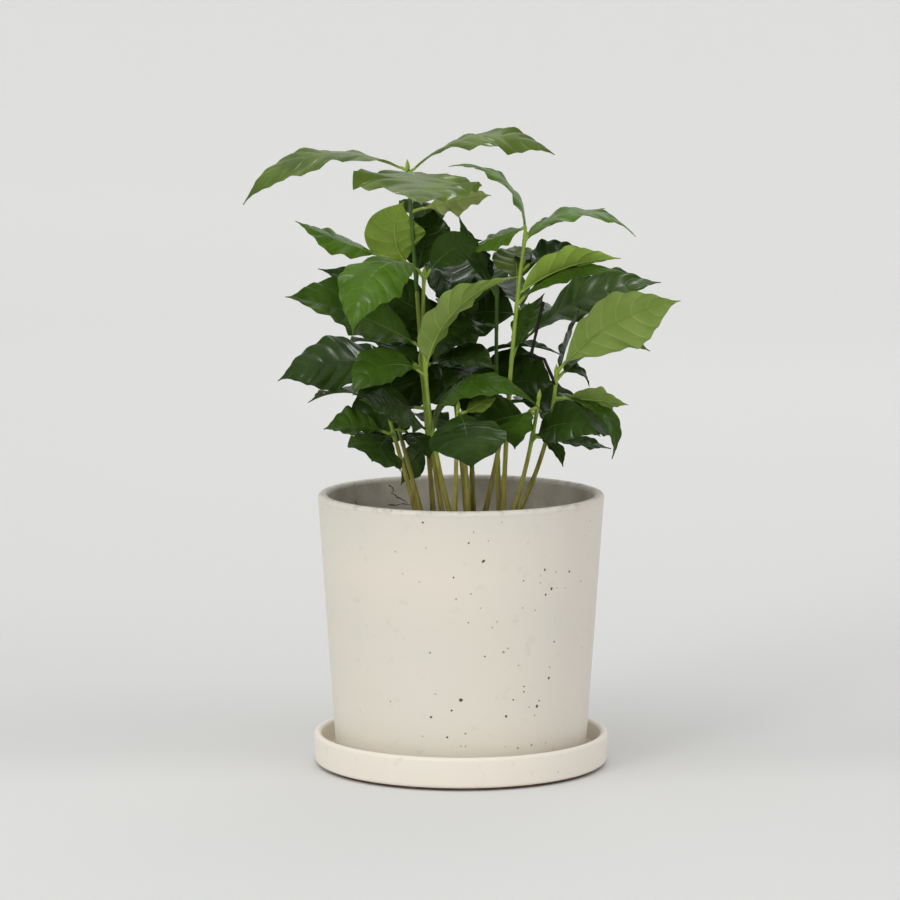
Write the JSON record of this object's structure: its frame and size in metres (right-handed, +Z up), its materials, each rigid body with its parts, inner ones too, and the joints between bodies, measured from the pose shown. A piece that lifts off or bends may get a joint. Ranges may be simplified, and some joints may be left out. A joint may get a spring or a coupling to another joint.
{
  "type": "potted coffee plant",
  "caption": "Young coffee seedlings with broad glossy leaves on thin stems, in a speckled cream ceramic pot that stands in its matching saucer",
  "frame": {"origin": "centre of the saucer's flat underside, on the level surface that the plant stands on", "axes": "+Z up the pot's axis, +X to the right and -Y towards the viewer of the picture"},
  "size_m": [0.2421, 0.189, 0.3553],
  "materials": {
    "pot": "satin",
    "saucer": "satin",
    "soil": "matte",
    "stem": "matte",
    "foliage": "satin"
  },
  "bodies": {
    "root": {"pot": "pot", "saucer": "saucer", "soil": "soil", "stem_tall_left": "stem", "stem_front_left": "stem", "stem_tall_right": "stem", "stem_right": "stem", "stem_front_small": "stem", "stem_low_left": "stem", "stem_far_left": "stem", "stem_mid_left": "stem", "stem_front_right": "stem", "stem_mid_right": "stem", "stem_centre": "stem", "stem_back_right": "stem", "stem_back_centre": "stem", "stem_back_left": "stem", "shoot_tall_left": "foliage", "shoot_front_left": "foliage", "shoot_tall_right": "foliage", "shoot_right": "foliage", "shoot_front_small": "foliage", "shoot_low_left": "foliage", "shoot_far_left": "foliage", "shoot_mid_left": "foliage", "shoot_front_right": "foliage", "shoot_mid_right": "foliage", "shoot_centre": "foliage", "shoot_back_right": "foliage", "shoot_back_centre": "foliage", "shoot_back_left": "foliage"}
  },
  "joints": []
}
